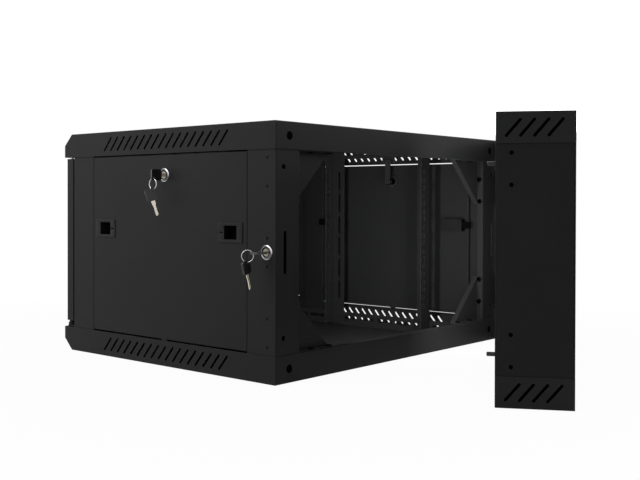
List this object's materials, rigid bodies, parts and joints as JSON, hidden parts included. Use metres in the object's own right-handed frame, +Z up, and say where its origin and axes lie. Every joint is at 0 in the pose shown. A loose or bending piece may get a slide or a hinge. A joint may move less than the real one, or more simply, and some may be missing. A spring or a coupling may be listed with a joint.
{
  "type": "wall mount network cabinet",
  "caption": "Steel double-section wall cabinet for 19-inch equipment: vented covers, side panels, locks and glass door, hinged to a shallow section fixed to the wall.",
  "frame": {"origin": "centre of the underside of the main section's bottom cover", "axes": "+Z up, -Y out of the front door, +X to the right seen from the front; the wall section stands open by 29.65 degrees about the left rear corner"},
  "size_m": [0.6884, 0.8833, 0.368],
  "materials": {
    "black_coat": "fine satin powder coat, black",
    "zinc_steel": "zinc plated steel",
    "chrome": "polished chrome plate",
    "nickel": "nickel silver",
    "black_plastic": "moulded black plastic, satin",
    "smoked_glass": "tempered glass, lightly tinted",
    "black_rubber": "black rubber",
    "black_foam": "black foam strip"
  },
  "bodies": {
    "wall_section": {"wall_top_cover": "black_coat", "wall_bottom_cover": "black_coat", "wall_end_right": "black_coat", "wall_end_left": "black_coat", "wall_back_plate": "black_coat", "locating_pins": "zinc_steel", "section_hinge_leaves_wall": "black_coat"},
    "main_section": {"top_cover": "black_coat", "bottom_cover": "black_coat", "rear_post_right": "black_coat", "rear_post_left": "black_coat", "front_post_right": "black_coat", "front_post_left": "black_coat", "side_panel_right": "black_coat", "side_panel_left": "black_coat", "rear_gussets_top": "black_coat", "rear_gussets_bottom": "black_coat", "side_rails_top": "black_coat", "side_rails_bottom": "black_coat", "latch_housings": "black_plastic", "lock_barrel_side_right": "chrome", "lock_barrel_side_left": "chrome", "lock_barrel_rear": "chrome", "lock_nuts": "zinc_steel", "door_hinge_brackets": "black_coat", "door_seal": "black_foam", "frame_screws": "black_coat", "corner_plugs": "black_rubber", "cable_entry_plates": "black_coat", "fan_guard": "black_coat", "section_hinge_leaves_main": "black_coat"},
    "front_door": {"door_frame": "black_coat", "door_glass": "smoked_glass", "glass_retainer": "black_coat", "lock_barrel_door": "chrome"},
    "door_pin": {"door_hinge_pin_top": "zinc_steel"},
    "door_lock": {"lock_plug_door": "chrome", "lock_cam_door": "zinc_steel"},
    "side_lock_right": {"lock_plug_side_right": "chrome", "lock_cam_side_right": "zinc_steel", "key_bow_side": "black_plastic", "key_blade_side": "nickel"},
    "side_lock_left": {"lock_plug_side_left": "chrome", "lock_cam_side_left": "zinc_steel"},
    "rear_lock": {"lock_plug_rear": "chrome", "lock_cam_rear": "zinc_steel", "key_bow_rear": "black_plastic", "key_blade_rear": "nickel"},
    "ring_side": {"key_ring_side": "nickel"},
    "spare_side": {"spare_key_side": "black_plastic"},
    "ring_rear": {"key_ring_rear": "nickel"},
    "spare_rear": {"spare_key_rear": "black_plastic"},
    "rack_rails_front": {"rack_rail_front_right": "black_coat", "rack_rail_front_left": "black_coat"},
    "rack_rails_rear": {"rack_rail_rear_right": "black_coat", "rack_rail_rear_left": "black_coat"},
    "latch_rear_right": {"latch_slider_rear_right": "black_plastic"},
    "latch_rear_left": {"latch_slider_rear_left": "black_plastic"},
    "latch_front_right": {"latch_slider_front_right": "black_plastic"},
    "latch_front_left": {"latch_slider_front_left": "black_plastic"}
  },
  "joints": [
    {"name": "section_swing", "type": "hinge", "parent": "wall_section", "child": "main_section", "pos_m": [-0.3025, 0.2505, 0], "axis": [0, 0, 1], "range_deg": [-70, 29.65]},
    {"name": "door_swing", "type": "hinge", "parent": "main_section", "child": "front_door", "pos_m": [0.293, -0.238, 0.184], "axis": [0, 0, 1], "range_deg": [0, 170]},
    {"name": "door_pin_slide", "type": "slide", "parent": "front_door", "child": "door_pin", "axis": [0, 0, -1], "range_m": [0, 0.008], "stiffness_N_per_m": 300, "springref_m": -0.006},
    {"name": "door_lock_turn", "type": "hinge", "parent": "front_door", "child": "door_lock", "pos_m": [-0.265, -0.244, 0.184], "axis": [0, 1, 0], "range_deg": [-90, 0]},
    {"name": "side_lock_right_turn", "type": "hinge", "parent": "main_section", "child": "side_lock_right", "pos_m": [0.2985, 0.01175, 0.2955], "axis": [1, 0, 0], "range_deg": [0, 90]},
    {"name": "side_lock_left_turn", "type": "hinge", "parent": "main_section", "child": "side_lock_left", "pos_m": [-0.2985, 0.01175, 0.2955], "axis": [1, 0, 0], "range_deg": [0, 90]},
    {"name": "rear_lock_turn", "type": "hinge", "parent": "main_section", "child": "rear_lock", "pos_m": [0.2985, 0.231, 0.184], "axis": [1, 0, 0], "range_deg": [-90, 0]},
    {"name": "ring_swing_side", "type": "hinge", "parent": "side_lock_right", "child": "ring_side", "pos_m": [0.3211, 0.01175, 0.2895], "axis": [0, 1, 0], "range_deg": [-45, 5]},
    {"name": "spare_swing_side", "type": "hinge", "parent": "ring_side", "child": "spare_side", "pos_m": [0.3211, 0.01175, 0.2731], "axis": [0, 1, 0], "range_deg": [-50, 5]},
    {"name": "ring_swing_rear", "type": "hinge", "parent": "rear_lock", "child": "ring_rear", "pos_m": [0.3211, 0.2259, 0.184], "axis": [0, 0, 1], "range_deg": [-20, 20]},
    {"name": "spare_swing_rear", "type": "hinge", "parent": "ring_rear", "child": "spare_rear", "pos_m": [0.32576, 0.22054, 0.1717], "axis": [0.6561, -0.7547, 0], "range_deg": [-12, 12]},
    {"name": "rack_rails_front_slide", "type": "slide", "parent": "main_section", "child": "rack_rails_front", "axis": [0, 1, 0], "range_m": [-0.06, 0.08]},
    {"name": "rack_rails_rear_slide", "type": "slide", "parent": "main_section", "child": "rack_rails_rear", "axis": [0, 1, 0], "range_m": [-0.08, 0.06]},
    {"name": "latch_rear_right_slide", "type": "slide", "parent": "main_section", "child": "latch_rear_right", "axis": [0, -1, 0], "range_m": [0, 0.007], "stiffness_N_per_m": 250, "springref_m": -0.004},
    {"name": "latch_rear_left_slide", "type": "slide", "parent": "main_section", "child": "latch_rear_left", "axis": [0, -1, 0], "range_m": [0, 0.007], "stiffness_N_per_m": 250, "springref_m": -0.004},
    {"name": "latch_front_right_slide", "type": "slide", "parent": "main_section", "child": "latch_front_right", "axis": [0, 1, 0], "range_m": [0, 0.007], "stiffness_N_per_m": 250, "springref_m": -0.004},
    {"name": "latch_front_left_slide", "type": "slide", "parent": "main_section", "child": "latch_front_left", "axis": [0, 1, 0], "range_m": [0, 0.007], "stiffness_N_per_m": 250, "springref_m": -0.004}
  ]
}
